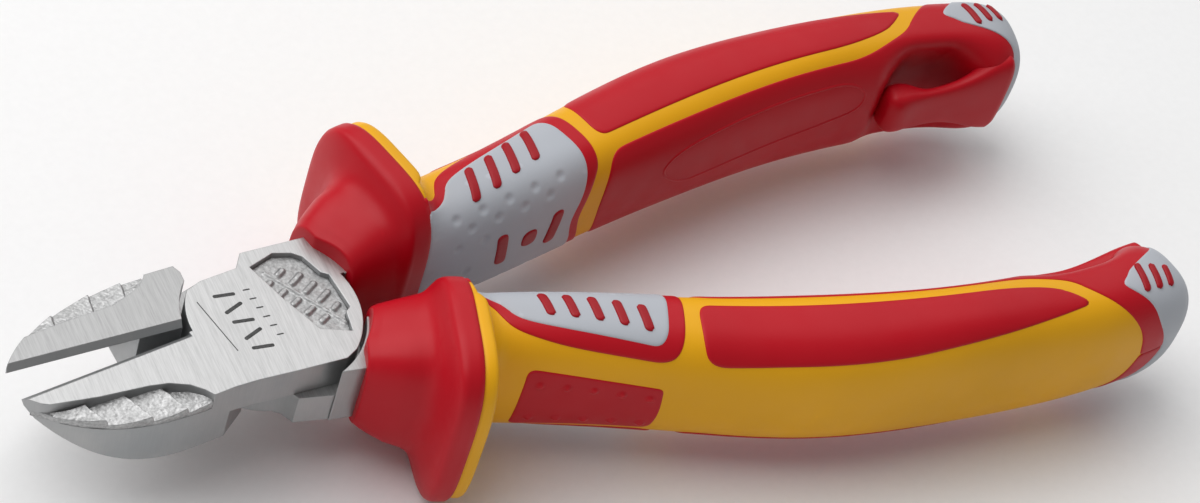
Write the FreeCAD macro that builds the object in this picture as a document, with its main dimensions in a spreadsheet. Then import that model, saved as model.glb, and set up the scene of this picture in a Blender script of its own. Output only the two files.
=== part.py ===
"""Insulated diagonal cutting pliers with three-component grips.  All lengths are millimetres.

Frame: the origin is on the pivot axis, in the flat back face of the head.  +X points along the
handles, the jaws lie towards -X, +Z points out of the head's front face.  The front half carries
the near jaw and the +Y handle, the rear half carries the far jaw and the -Y handle.
The pose is the open one: the two cutting edges stand rest_opening degrees apart.
"""
import FreeCAD, Part
import math
import os

from FreeCAD import Placement, Rotation, Vector

doc = FreeCAD.newDocument("pliers")
sheet = doc.addObject("Spreadsheet::Sheet", "Sheet")

DIMENSIONS = [
    # head
    ("head_thickness", 9.7),
    ("lap_height", 4.85),
    ("lap_gap", 0.03),
    ("head_angle", 8.0),
    ("rest_opening", 7.0),
    ("edge_offset", 1.4),
    ("edge_clearance", 0.03),
    ("edge_drop", 0.75),
    ("edge_bevel", 0.8),
    ("jaw_length", 34.7),
    ("throat_start", 17.0),
    ("throat_end", 10.9),
    ("relief_depth", 7.8),
    ("taper_start", 17.0),
    ("taper_radius", 24.0),
    ("recess_depth", 1.5),
    ("front_disc_radius", 10.5),
    ("shoulder_radius", 11.2),
    ("rear_disc_radius", 8.3),
    ("heel_radius", 8.9),
    ("disc_rear_radius", 12.2),
    ("tang_front_radius", 12.7),
    ("badge_depth", 0.8),
    # pivot rivet, set blind in the front half
    ("rivet_radius", 3.2),
    ("rivet_clearance", 0.05),
    ("rivet_length", 8.2),
    ("rivet_head_radius", 4.4),
    ("rivet_head_height", 1.2),
    ("rivet_seat", 1.25),
    # tang inside the handle
    ("tang_width", 6.4),
    ("tang_thickness", 5.6),
    ("tang_end", 62.0),
    # handle mouldings
    ("handle_end", 125.6),
    ("skin", 1.2),
    ("section_power", 2.64),
    ("guard_front_radius", 13.1),
    ("guard_tilt", 15.4),
    ("guard_station", 23.3),
    ("guard_rim", 2.8),
    ("guard_yellow_rim", 1.9),
    ("guard_half_width", 11.1),
    ("guard_half_height", 13.9),
    ("guard_offset", 5.4),
    ("block_half_width", 6.8),
    ("block_half_height", 9.5),
    ("block_offset", 1.6),
    ("saddle_start", 24.4),
    ("saddle_end", 48.5),
    ("surround_end", 50.6),
    ("grip_start", 52.6),
    ("grip_end", 108.0),
    ("inner_start", 51.4),
    ("inner_half_height", 8.1),
    ("end_zone_start", 117.5),
    ("cap_start", 121.5),
    ("loop_half_height", 3.3),
    ("loop_front", 109.6),
    ("loop_rear", 121.4),
    ("loop_floor", 24.2),
    ("inlay_depth", 0.5),
]
for row, (alias, value) in enumerate(DIMENSIONS, start=1):
    sheet.set("A%d" % row, alias)
    sheet.set("B%d" % row, str(value))
    sheet.setAlias("B%d" % row, alias)
doc.recompute()


def dim(alias):
    """Read one driving dimension."""
    return float(sheet.get(alias))


HEAD = dim("head_thickness")
LAP = dim("lap_height")
EDGE = dim("edge_offset")
FAR = 60.0          # further than any piece reaches sideways


def polar(radius, degrees):
    """Point on a circle round the pivot."""
    angle = math.radians(degrees)
    return (radius * math.cos(angle), radius * math.sin(angle))


def turned(point, degrees):
    """Plan point turned about the pivot."""
    angle = math.radians(degrees)
    x, y = point
    return (x * math.cos(angle) - y * math.sin(angle), x * math.sin(angle) + y * math.cos(angle))


# ---------------------------------------------------------------- handle centreline and section

# station along +X, centreline's distance from the X axis, half width in plan, half height in Z
STATIONS = [
    (14.0, 7.5, 4.6, 9.0),
    (24.0, 9.7, 5.9, 9.2),
    (38.0, 13.1, 6.4, 9.4),
    (54.0, 17.9, 7.1, 9.4),
    (70.0, 22.1, 7.7, 9.8),
    (86.0, 24.5, 7.0, 10.3),
    (102.0, 25.4, 6.8, 10.2),
    (112.0, 25.1, 7.0, 9.9),
    (126.0, 23.1, 7.2, 9.5),
]


def smooth(column):
    """Cubic curve through one column of the stations, as a function of the station."""
    curve = Part.BSplineCurve()
    curve.interpolate([Vector(row[0], row[column], 0) for row in STATIONS])
    first, last = STATIONS[0][0], STATIONS[-1][0]

    def value(station):
        clamped = min(max(station, first), last)
        upright = Part.Line(Vector(clamped, -FAR, 0), Vector(clamped, FAR, 0))
        return curve.intersectCC(upright)[0].Y
    return value


centre_at = smooth(1)
width_at = smooth(2)
height_at = smooth(3)


def slope_at(station):
    step = 0.5
    return (centre_at(station + step) - centre_at(station - step)) / (2 * step)


def on_handle(station, across, up=0.0):
    """Point of the +Y handle: across is outward from the centreline, up is from mid height."""
    angle = math.atan(slope_at(station))
    return Vector(
        station - across * math.sin(angle),
        centre_at(station) + across * math.cos(angle),
        LAP + up,
    )


def even_loop(points):
    """Closed curve through the points with evenly spaced knots, so that lofts share their knots."""
    curve = Part.BSplineCurve()
    curve.interpolate(Points=points, PeriodicFlag=True, Parameters=[float(i) for i in range(len(points) + 1)])
    return curve


def section(station, inset=0.0, scale=1.0):
    """Closed section of the handle, a superellipse square to the centreline."""
    power = 2.0 / dim("section_power")
    half_width = (width_at(station) - inset) * scale
    half_height = (height_at(station) - inset) * scale
    points = []
    for index in range(16):
        angle = 2 * math.pi * (index + 0.5) / 16
        c, s = math.cos(angle), math.sin(angle)
        across = half_width * math.copysign(abs(c) ** power, c)
        up = half_height * math.copysign(abs(s) ** power, s)
        points.append(on_handle(station, across, up))
    return Part.Wire(even_loop(points).toShape())


def handle_solid(start, inset=0.0):
    """The handle's outer form from one station to its rounded end, or an inset copy of it."""
    end = dim("handle_end") - inset
    round_length = 9.0
    stations = [start, 24.0, 31.0, 38.0, 46.0, 54.0, 62.0, 70.0, 78.0, 86.0, 94.0, 102.0, 110.0]
    wires = [section(station, inset) for station in stations if station >= start]
    for part_way in (0.0, 0.45, 0.75, 0.92, 0.99):
        scale = (1.0 - part_way ** 2.4) ** (1 / 2.4)
        wires.append(section(end - round_length * (1.0 - part_way), inset, scale))
    return Part.makeLoft(wires, True)


def plan_prism(points, low=-FAR, high=FAR):
    """Solid over a plan outline; the points are plain (x, y) pairs."""
    corners = [Vector(x, y, low) for x, y in points]
    face = Part.Face(Part.makePolygon(corners + corners[:1]))
    return face.extrude(Vector(0, 0, high - low))


def side_prism(points, near, far):
    """Solid over an outline in X and Z, between two distances from the X axis."""
    corners = [Vector(x, near, LAP + z) for x, z in points]
    face = Part.Face(Part.makePolygon(corners + corners[:1]))
    return face.extrude(Vector(0, far - near, 0))


def strip(pairs):
    """Plan points of the handle from (station, across as a part of the half width) pairs."""
    plan = []
    for station, part_of_width in pairs:
        point = on_handle(station, part_of_width * width_at(station))
        plan.append((point.x, point.y))
    return plan


# ---------------------------------------------------------------- PartDesign helpers

def origin_plane(body, role):
    return next(item for item in body.Origin.OriginFeatures if item.Role == role)


def add_sketch(body, name, role, edges, offset=None):
    """Closed sketch on one of the body's own planes, or at an offset expression along its normal."""
    sketch = body.newObject("Sketcher::SketchObject", name)
    sketch.AttachmentSupport = [(origin_plane(body, role), "")]
    sketch.MapMode = "FlatFace"
    if offset:
        sketch.setExpression("AttachmentOffset.Base.z", offset)
    for edge in edges:
        sketch.addGeometry(edge, False)
    return sketch


def line(start, end):
    return Part.LineSegment(Vector(start[0], start[1], 0), Vector(end[0], end[1], 0))


def arc(start, middle, end):
    points = [Vector(x, y, 0) for x, y in (start, middle, end)]
    return Part.Arc(*points)


def spline(points):
    curve = Part.BSplineCurve()
    curve.interpolate([Vector(x, y, 0) for x, y in points])
    return curve


def chain(points):
    """Straight edges from point to point."""
    return [line(start, end) for start, end in zip(points[:-1], points[1:])]


def add_pad(body, name, sketch, length_cell):
    pad = body.newObject("PartDesign::Pad", name)
    pad.Profile = sketch
    pad.setExpression("Length", length_cell)
    doc.recompute()
    return pad


def add_pocket(body, name, sketch, length_cell, reversed_way=False, symmetric=False):
    """Cut a pocket and make sure that it removed something."""
    before = body.Shape.Volume
    pocket = body.newObject("PartDesign::Pocket", name)
    pocket.Profile = sketch
    if symmetric:
        pocket.SideType = "Symmetric"
    pocket.Reversed = reversed_way
    pocket.setExpression("Length", length_cell)
    doc.recompute()
    if body.Shape.Volume > before - 0.05:
        raise RuntimeError(name + " cut nothing")
    return pocket


# ---------------------------------------------------------------- the two forged halves
#
# Each half is drawn in its own jaw frame: jaws closed and pointing along -X, the cutting line at
# y = edge_offset.  Its Placement then turns it to the open pose.  side is -1 for the front half,
# whose jaw is on -Y and handle on +Y, and +1 for the rear half.

def jaw_turn(side):
    """Degrees from a half's jaw frame to the open pose."""
    return dim("head_angle") - side * dim("rest_opening") / 2


def bar_outline(side):
    """Corners of the tang's bar inside the handle, in the half's jaw frame."""
    half = dim("tang_width") / 2
    rows = []
    for across in (half, -half):
        row = []
        for station in (15.5, 26.0, 38.0, 50.0, dim("tang_end")):
            point = on_handle(station, across)
            row.append(turned((point.x, -side * point.y), -jaw_turn(side)))
        rows.append(row)
    return rows[0] + rows[1][::-1]


def build_half(name, side, heel, contour, lap_edges, neck_edges, recess):
    """One forged half: jaw, half-height lap, full-height neck and the bar inside the handle."""
    front = side < 0
    body = doc.addObject("PartDesign::Body", name)
    body.setExpression(
        "Placement.Rotation.Angle",
        "Sheet.head_angle %s Sheet.rest_opening / 2" % ("+" if front else "-"),
    )
    edge_y = EDGE + side * dim("edge_clearance")
    tip = (-dim("jaw_length"), edge_y)
    top_cell = "Sheet.head_thickness"
    upper_height = "Sheet.head_thickness - Sheet.lap_height"
    lower_height = "Sheet.lap_height - Sheet.lap_gap"

    # jaw at full height, then room in it for the other half's disc
    root = (heel[0][0], edge_y)
    outline = [line(tip, root)] + chain([root] + heel + contour[:1])
    outline += [spline(contour), line(contour[-1], tip)]
    add_pad(body, name + "_jaw", add_sketch(body, name + "_jaw_plan", "XY_Plane", outline), top_cell)

    radius = dim("heel_radius" if front else "shoulder_radius")
    circle = [Part.Circle(Vector(0, 0, 0), Vector(0, 0, 1), radius)]
    room_top = "Sheet.lap_height" if front else top_cell
    room = add_sketch(body, name + "_room_plan", "XY_Plane", circle, room_top)
    add_pocket(body, name + "_room", room, "Sheet.lap_height" if front else upper_height)

    # lap on one side of the joint face, neck and bar behind it
    lap_floor = "Sheet.lap_height" if front else None
    lap = add_sketch(body, name + "_lap_plan", "XY_Plane", lap_edges, lap_floor)
    add_pad(body, name + "_lap", lap, upper_height if front else lower_height)
    neck = add_sketch(body, name + "_neck_plan", "XY_Plane", neck_edges)
    add_pad(body, name + "_neck", neck, top_cell)
    bar_points = bar_outline(side)
    floor = "(Sheet.head_thickness - Sheet.tang_thickness) / 2"
    bar = add_sketch(body, name + "_bar_plan", "XY_Plane", chain(bar_points + bar_points[:1]), floor)
    add_pad(body, name + "_bar", bar, "Sheet.tang_thickness")

    # the jaw's underside rises to the tip
    start, radius = dim("taper_start"), dim("taper_radius")
    reach = dim("jaw_length") + 2
    rise = math.radians(55)
    end = (-start - radius * math.sin(rise), radius - radius * math.cos(rise))
    middle = (-start - radius * math.sin(rise / 2), radius - radius * math.cos(rise / 2))
    below = -1.0
    taper = [arc((-start, 0), middle, end)]
    taper += chain([end, (-reach - 8, end[1]), (-reach - 8, below), (-start, below), (-start, 0)])
    sketch = add_sketch(body, name + "_taper_side", "XZ_Plane", taper)
    add_pocket(body, name + "_taper", sketch, "4 * Sheet.jaw_length", symmetric=True)

    # cutting edge: bevel above it, relief below it
    past_tip = "-Sheet.jaw_length - 2"
    bevel, drop = dim("edge_bevel"), dim("edge_drop")
    above = [
        (edge_y + side * 2 * bevel, HEAD + drop),
        (edge_y - side * bevel, HEAD - 2 * drop),
        (edge_y - side * bevel, HEAD + drop),
    ]
    sketch = add_sketch(body, name + "_bevel_end", "YZ_Plane", chain(above + above[:1]), past_tip)
    add_pocket(body, name + "_bevel", sketch, "Sheet.jaw_length + 2 - Sheet.throat_end", reversed_way=True)
    past = 1.5
    under = [
        (edge_y - side * past, HEAD - drop),
        (edge_y, HEAD - drop),
        (edge_y + side * dim("relief_depth"), -past),
        (edge_y - side * past, -past),
    ]
    sketch = add_sketch(body, name + "_relief_end", "YZ_Plane", chain(under + under[:1]), past_tip)
    add_pocket(body, name + "_relief", sketch, "Sheet.jaw_length + 2 - Sheet.throat_start", reversed_way=True)

    # forged recess along the jaw's outer side
    sketch = add_sketch(body, name + "_recess_plan", "XY_Plane", chain(recess + recess[:1]), top_cell)
    add_pocket(body, name + "_recess", sketch, "Sheet.recess_depth")
    return body


DISC = dim("front_disc_radius")
LOW_DISC = dim("rear_disc_radius")
REAR = dim("disc_rear_radius")
NECK = dim("tang_front_radius")

front_half = build_half(
    "jaw_half_front",
    side=-1,
    heel=[(-6.2, -6.3), (-10.3, -8.6)],
    contour=[(-13.4, -8.6), (-20.5, -7.9), (-27.2, -5.6), (-31.8, -2.2), (-34.6, 0.9)],
    lap_edges=[
        line((-13.0, EDGE - 0.03), (-10.4, EDGE - 0.03)),
        arc((-10.4, EDGE - 0.03), polar(DISC, 155), polar(DISC, 136)),
    ] + chain([
        polar(DISC, 136), (-5.2, 7.9), (0.2, 7.85), (2.0, 9.8), (10.0, 8.8), (13.2, 8.4), (13.2, 1.4),
        polar(REAR, 6.5),
    ]) + [
        arc(polar(REAR, 6.5), polar(REAR, -25), polar(REAR, -55)),
    ] + chain([
        polar(REAR, -55), (5.1, -10.7), (-1.5, -9.8), (-7.2, -8.9), (-10.3, -8.6), (-13.0, -4.0),
        (-13.0, EDGE - 0.03),
    ]),
    neck_edges=[
        arc(polar(NECK, 5.5), polar(NECK, 25), polar(NECK, 43.5)),
    ] + chain([polar(NECK, 43.5), (10.0, 8.8), (17.2, 7.9), (17.6, 1.0), polar(NECK, 5.5)]),
    recess=[
        (-11.8, -11.0), (-13.3, -8.6), (-14.0, -7.3), (-15.3, -5.9), (-17.5, -4.6), (-20.0, -3.9),
        (-26.3, -2.8), (-32.4, -1.3), (-34.2, 0.0), (-38.0, -1.0), (-38.0, -11.0),
    ],
)
rear_half = build_half(
    "jaw_half_rear",
    side=1,
    heel=[(-8.0, 7.8), (-7.9, 9.3), (-8.4, 10.5)],
    contour=[(-12.5, 10.3), (-19.5, 9.8), (-25.2, 8.3), (-31.3, 5.1), (-34.6, 1.9)],
    lap_edges=[
        line((-9.0, EDGE + 0.03), (-8.2, EDGE + 0.03)),
        arc((-8.2, EDGE + 0.03), polar(LOW_DISC, 215), polar(LOW_DISC, 258)),
    ] + chain([
        polar(LOW_DISC, 258), (-0.7, -9.0), (0.1, -10.7), (7.1, -12.15), (13.5, -12.8),
        (12.3, -4.8), polar(REAR, -21),
    ]) + [
        arc(polar(REAR, -21), polar(REAR, 15), polar(REAR, 45)),
    ] + chain([
        polar(REAR, 45), (1.2, 9.8), (-4.5, 10.4), (-7.9, 9.3), (-9.0, 6.0), (-9.0, EDGE + 0.03),
    ]),
    neck_edges=[
        arc(polar(NECK, -21.5), polar(NECK, -45), polar(NECK, -68.5)),
    ] + chain([polar(NECK, -68.5), (7.1, -12.15), (14.6, -12.9), (17.4, -6.0), polar(NECK, -21.5)]),
    recess=[
        (-11.6, 12.5), (-12.6, 10.1), (-13.6, 9.0), (-15.1, 8.1), (-18.3, 6.9), (-25.7, 6.2),
        (-31.3, 5.4), (-38.0, 4.0), (-38.0, 12.5),
    ],
)

# pivot bores: blind in the front half, through the rear half with a seat for the rivet's head
centre = Vector(0, 0, 0)
upward = Vector(0, 0, 1)
bore = [Part.Circle(centre, upward, dim("rivet_radius"))]
sketch = add_sketch(front_half, "front_bore_plan", "XY_Plane", bore, "Sheet.rivet_length")
add_pocket(front_half, "front_bore", sketch, "Sheet.rivet_length")
bore = [Part.Circle(centre, upward, dim("rivet_radius") + dim("rivet_clearance"))]
sketch = add_sketch(rear_half, "rear_bore_plan", "XY_Plane", bore, "Sheet.lap_height")
add_pocket(rear_half, "rear_bore", sketch, "Sheet.lap_height")
seat = [Part.Circle(centre, upward, dim("rivet_head_radius") + dim("rivet_clearance"))]
sketch = add_sketch(rear_half, "rear_seat_plan", "XY_Plane", seat, "Sheet.rivet_seat")
add_pocket(rear_half, "rear_seat", sketch, "Sheet.rivet_seat")

# sunk badge field on the front half's flat face
badge = [
    (1.9, 7.2), (5.8, 8.0), (8.1, 7.0), (9.1, 5.9), (9.8, 2.7), (10.6, 1.9), (10.1, -3.7),
    (9.2, -4.2), (8.2, -7.2), (4.6, -5.2), (3.0, 1.0),
]
sketch = add_sketch(front_half, "badge_plan", "XY_Plane", chain(badge + badge[:1]), "Sheet.head_thickness")
add_pocket(front_half, "badge", sketch, "Sheet.badge_depth")

# rivet: a shank and a head that lies flush in the head's back face
shank = doc.addObject("Part::Cylinder", "rivet_shank")
shank.setExpression("Radius", "Sheet.rivet_radius")
shank.setExpression("Height", "Sheet.rivet_length")
rivet_head = doc.addObject("Part::Cylinder", "rivet_head")
rivet_head.setExpression("Radius", "Sheet.rivet_head_radius")
rivet_head.setExpression("Height", "Sheet.rivet_head_height")
rivet = doc.addObject("Part::Fuse", "pivot_rivet")
rivet.Base = shank
rivet.Tool = rivet_head
rivet.Refine = True
doc.recompute()


# ---------------------------------------------------------------- the moulded handle
#
# Built once round the +Y handle in the open pose.  The -Y handle is the same moulding turned over
# about the X axis.

def guard_section(station, offset, half_width, half_height, power):
    """Closed superellipse in a plane square to the guard's tilt."""
    tilt = math.radians(dim("guard_tilt"))
    base = on_handle(station, 0)
    points = []
    for index in range(20):
        angle = 2 * math.pi * (index + 0.5) / 20
        c, s = math.cos(angle), math.sin(angle)
        across = offset + half_width * math.copysign(abs(c) ** (2 / power), c)
        up = half_height * math.copysign(abs(s) ** (2 / power), s)
        points.append(base + Vector(-across * math.sin(tilt), across * math.cos(tilt), up))
    return Part.Face(Part.Wire(even_loop(points).toShape()))


def guard_plan(along, across):
    """Solid over a plan rectangle square to the guard, each side given as (from, to)."""
    tilt = math.radians(dim("guard_tilt"))
    base = on_handle(dim("guard_station"), 0)
    corners = []
    for a, b in ((along[0], across[0]), (along[1], across[0]), (along[1], across[1]), (along[0], across[1])):
        corners.append((
            base.x + a * math.cos(tilt) - b * math.sin(tilt),
            base.y + a * math.sin(tilt) + b * math.cos(tilt),
        ))
    return plan_prism(corners)


def guard_slab(face, thickness):
    """The guard's section swept along the handle; a negative thickness goes towards the jaws."""
    tilt = math.radians(dim("guard_tilt"))
    return face.extrude(Vector(math.cos(tilt), math.sin(tilt), 0) * thickness)


station = dim("guard_station")
offset = dim("guard_offset")
half_width = dim("guard_half_width")
half_height = dim("guard_half_height")
flange_face = guard_section(station, offset, half_width, half_height, 2.6)
flange = guard_slab(flange_face, -dim("guard_rim"))
rim_inset = 0.5
rim_face = guard_section(station, offset, half_width - rim_inset, half_height - rim_inset, 2.6)
yellow_rim = guard_slab(rim_face, dim("guard_yellow_rim")).common(guard_plan((-1.0, 5.0), (3.0, FAR)))
block_face = guard_section(
    station - 1.5, dim("block_offset"), dim("block_half_width"), dim("block_half_height"), 2.6,
)
block = guard_slab(block_face, -18.0).common(plan_prism([
    (23.0, 2.0), (9.0, 2.0), (8.0, 11.4), (15.0, 17.0), (23.0, 20.0),
]))
clear_of_head = Part.makeCylinder(dim("guard_front_radius"), 2 * FAR, Vector(0, 0, -FAR))

outer = handle_solid(14.0)
core = handle_solid(14.0, dim("skin"))
shell = outer.cut(core)

# red surround with the grey saddle inside it; both wrap the faces and the side to the other handle
saddle_plan = plan_prism(strip([
    (dim("saddle_start"), -1.6), (dim("saddle_start"), -0.2), (28.5, 0.1), (31.0, 0.3), (37.0, 0.43),
    (46.0, 0.62), (47.6, 0.5), (dim("saddle_end"), 0.1), (dim("saddle_end"), -0.5), (47.0, -1.6),
]))
surround_plan = plan_prism(strip([
    (22.5, -1.8), (22.5, 0.2), (28.0, 0.3), (30.5, 0.5), (34.5, 0.63), (39.5, 0.72),
    (47.6, 0.82), (49.4, 0.7), (dim("surround_end"), 0.1), (dim("surround_end"), -0.5), (48.6, -1.8),
]))
saddle = saddle_plan.common(shell)
surround = surround_plan.cut(saddle_plan).common(shell)

# red grip panels on the two faces
grip_plan = strip([
    (53.4, -0.4), (dim("grip_start"), 0.1), (dim("grip_start"), 0.6), (54.2, 0.8), (72.0, 0.79),
    (84.0, 0.73), (93.0, 0.67), (101.0, 0.55), (107.0, 0.42), (dim("grip_end"), 0.33), (107.0, 0.1),
    (103.0, -0.1), (98.0, -0.3), (90.0, -0.36), (60.0, -0.36),
])
grip_top = plan_prism(grip_plan, low=LAP).common(shell)
grip_bottom = plan_prism(grip_plan, high=LAP).common(shell)

# red cover on the inner side, its end zone and the grey cap
inner_high = dim("inner_half_height")
inner_side = side_prism([
    (53.0, -inner_high), (53.0, inner_high), (100.0, inner_high + 0.6), (100.0, -inner_high - 0.6),
], 0.0, 26.0).common(plan_prism(strip([
    (dim("inner_start"), -0.4), (48.5, -1.8), (60.0, -1.8), (80.0, -1.8), (101.0, -1.8), (101.0, -0.4),
    (80.0, -0.4), (62.0, -0.4),
])))
end_plan = plan_prism(strip([
    (98.0, -1.8), (99.5, -0.62), (103.0, -0.42), (106.0, -0.3), (108.5, -0.1), (112.5, 0.55),
    (114.5, 0.8), (dim("end_zone_start"), 1.2), (128.0, 2.5), (138.0, -1.0), (128.0, -2.5), (112.0, -1.8),
]))
cap_plan = plan_prism(strip([
    (114.5, 0.12), (115.5, 0.41), (117.5, 0.67), (119.0, 0.9), (dim("cap_start"), 1.2), (130.0, 2.5),
    (140.0, -1.0), (130.0, -2.5), (123.5, -1.5), (123.5, -0.5), (122.5, -0.36), (119.5, -0.18),
    (117.5, 0.0),
]))

# lanyard loop: the side is scooped out round a low arm
front, rear, floor = dim("loop_front"), dim("loop_rear"), dim("loop_floor")
scoop = plan_prism([
    (front, 8.0), (front, floor - 1.5), (front + 1.5, floor), (rear - 2.5, floor), (rear + 1.0, floor - 3.0),
    (rear + 2.0, 8.0),
])
arm = plan_prism([
    (103.2, 19.4), (104.0, 17.2), (105.5, 16.4), (107.5, 16.7), (110.0, 17.2), (115.0, 17.4), (120.0, 17.5),
    (124.2, 17.6), (124.2, 20.4), (121.0, 19.9), (117.0, 19.7), (front + 1.0, 19.6), (front - 0.4, 20.4),
    (103.2, 20.4),
], LAP - dim("loop_half_height"), LAP + dim("loop_half_height"))
arm = arm.cut(core.cut(scoop))
inner_cover = inner_side.fuse(end_plan).common(shell).cut(cap_plan).cut(scoop).fuse(arm.cut(cap_plan))
end_cap = cap_plan.common(shell).fuse(arm.common(cap_plan))

# dotted pad on the outer side, behind the guard
pad_side = side_prism([
    (28.7, -5.0), (46.6, -3.2), (47.1, -2.6), (47.1, 4.6), (46.2, 5.2), (28.7, 6.9),
], 14.0, 34.0)
back_pad = pad_side.common(shell).cut(surround_plan)


def inlay(plan_lists, zone):
    """Thin shapes let into both faces of a zone."""
    skin_of_inlay = outer.cut(handle_solid(14.0, dim("inlay_depth")))
    shapes = [plan_prism(points).common(skin_of_inlay).common(zone) for points in plan_lists]
    return Part.makeCompound([solid for shape in shapes for solid in shape.Solids])


def bar(start, end, middle, half):
    """Slanted bar on the handle's face, in stations and parts of the half width."""
    lean = 1.2
    return strip([
        (start, middle - half), (end, middle - half),
        (end + lean, middle + half), (start + lean, middle + half),
    ])


saddle_marks = inlay([bar(33.5 + 3.6 * index, 35.1 + 3.6 * index, -0.12, 0.3) for index in range(3)], saddle)
cap_marks = inlay([bar(118.2, 119.4, 0.2, 0.25), bar(120.9, 122.1, 0.2, 0.25)], end_cap)
saddle = saddle.cut(saddle_marks)
end_cap = end_cap.cut(cap_marks)

guard_body = block.fuse(flange).cut(core)
guard_cover = guard_body.cut(clear_of_head).fuse(surround)
ahead_of_flange = guard_plan((-FAR, -dim("guard_rim") / 2), (-FAR, FAR))
sleeve = outer.cut(ahead_of_flange).fuse(core).fuse(yellow_rim).cut(clear_of_head).cut(scoop)
for zone in (
    guard_body, surround, saddle_plan.common(shell), grip_top, grip_bottom, inner_side.common(shell),
    end_plan.common(shell), cap_plan.common(shell), back_pad,
):
    sleeve = sleeve.cut(zone)

MOULDING = {
    "sleeve": sleeve,
    "guard": guard_cover,
    "saddle": saddle,
    "saddle_marks": saddle_marks,
    "back_pad": back_pad,
    "grip_top": grip_top,
    "grip_bottom": grip_bottom,
    "inner_cover": inner_cover,
    "end_cap": end_cap,
    "cap_marks": cap_marks,
}


def as_solids(shape):
    """The shape's solids alone, as one solid or a compound."""
    solids = [solid for solid in shape.Solids if solid.Volume > 0.05]
    return solids[0] if len(solids) == 1 else Part.makeCompound(solids)


nodes = [front_half, rear_half, rivet]
turned_over = Placement(Vector(0, 0, 2 * LAP), Rotation(Vector(1, 0, 0), 180))
for prefix, half, place in (("front", front_half, Placement()), ("rear", rear_half, turned_over)):
    steel = half.Shape.copy()
    steel.Placement = place.inverse().multiply(steel.Placement)
    for label, shape in MOULDING.items():
        if label in ("sleeve", "guard"):
            shape = shape.cut(steel)
        node = doc.addObject("Part::Feature", prefix + "_" + label)
        node.Shape = as_solids(shape)
        node.Placement = place
        nodes.append(node)
doc.recompute()

# ---------------------------------------------------------------- checks and export

for item in doc.Objects:
    if "Invalid" in item.State or "Error" in item.State:
        raise RuntimeError(item.Label + " failed: " + str(item.State))
for node in nodes:
    if node.Shape.isNull() or not node.Shape.isValid() or not node.Shape.Solids:
        raise RuntimeError(node.Label + " has no valid solid")

os.makedirs("parts", exist_ok=True)
for node in nodes:
    node.Shape.exportStep(os.path.join("parts", node.Label + ".step"))
    print("%-22s solids %2d  volume %9.1f" % (node.Label, len(node.Shape.Solids), node.Shape.Volume))
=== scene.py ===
"""Looks of the insulated diagonal cutting pliers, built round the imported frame.

Lengths are millimetres in the part's own frame and become metres in build_mesh(); only the lamps
and the floor are measured in metres.  The mouldings are described once, on the +Y handle, and turned
over about the X axis for the -Y one.
"""
import math

import bmesh
import bpy
import numpy as np
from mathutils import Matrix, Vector, noise
from mathutils.bvhtree import BVHTree
from mathutils.geometry import delaunay_2d_cdt


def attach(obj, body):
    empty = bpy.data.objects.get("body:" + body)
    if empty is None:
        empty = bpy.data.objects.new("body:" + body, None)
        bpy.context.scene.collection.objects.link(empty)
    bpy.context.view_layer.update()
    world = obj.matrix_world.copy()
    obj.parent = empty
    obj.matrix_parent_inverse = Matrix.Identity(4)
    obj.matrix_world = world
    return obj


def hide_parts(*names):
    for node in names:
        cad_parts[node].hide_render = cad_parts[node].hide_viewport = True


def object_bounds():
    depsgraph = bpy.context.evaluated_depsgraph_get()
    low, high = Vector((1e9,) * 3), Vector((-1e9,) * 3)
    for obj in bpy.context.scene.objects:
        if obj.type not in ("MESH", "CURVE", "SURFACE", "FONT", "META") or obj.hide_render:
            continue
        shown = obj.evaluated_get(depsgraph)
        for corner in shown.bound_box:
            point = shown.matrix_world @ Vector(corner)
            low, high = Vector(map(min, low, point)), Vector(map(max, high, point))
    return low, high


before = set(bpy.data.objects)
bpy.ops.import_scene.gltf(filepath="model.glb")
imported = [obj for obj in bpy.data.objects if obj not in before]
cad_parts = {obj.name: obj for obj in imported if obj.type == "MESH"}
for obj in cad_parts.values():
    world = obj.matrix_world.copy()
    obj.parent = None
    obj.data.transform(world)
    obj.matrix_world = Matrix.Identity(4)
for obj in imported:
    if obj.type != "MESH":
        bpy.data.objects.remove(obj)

CAD_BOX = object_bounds()

MM = 0.001              # one millimetre in metres
MID = 4.85              # height of the lap plane and of the handles' mid plane
HEAD_TOP = 9.7          # height of the head's flat front face
FRONT_TURN = 11.5       # degrees from the closed jaw to the open pose, front half
REAR_TURN = 4.5         # the same for the rear half

# the handle: station along X, centreline's distance from the X axis, half width, half height
STATIONS = np.array([
    (14.0, 7.5, 4.6, 9.0),
    (24.0, 9.7, 5.9, 9.2),
    (38.0, 13.1, 6.4, 9.4),
    (54.0, 17.9, 7.1, 9.4),
    (70.0, 22.1, 7.7, 9.8),
    (86.0, 24.5, 7.0, 10.3),
    (102.0, 25.4, 6.8, 10.2),
    (112.0, 25.1, 7.0, 9.9),
    (129.0, 22.5, 7.2, 9.4),
])
SECTION_POWER = 2.64    # of the superellipse that is the handle's section
HANDLE_END = 127.6
ROUND_LENGTH = 9.5      # length of the rounded end
ROUND_POWER = 2.9

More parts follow.
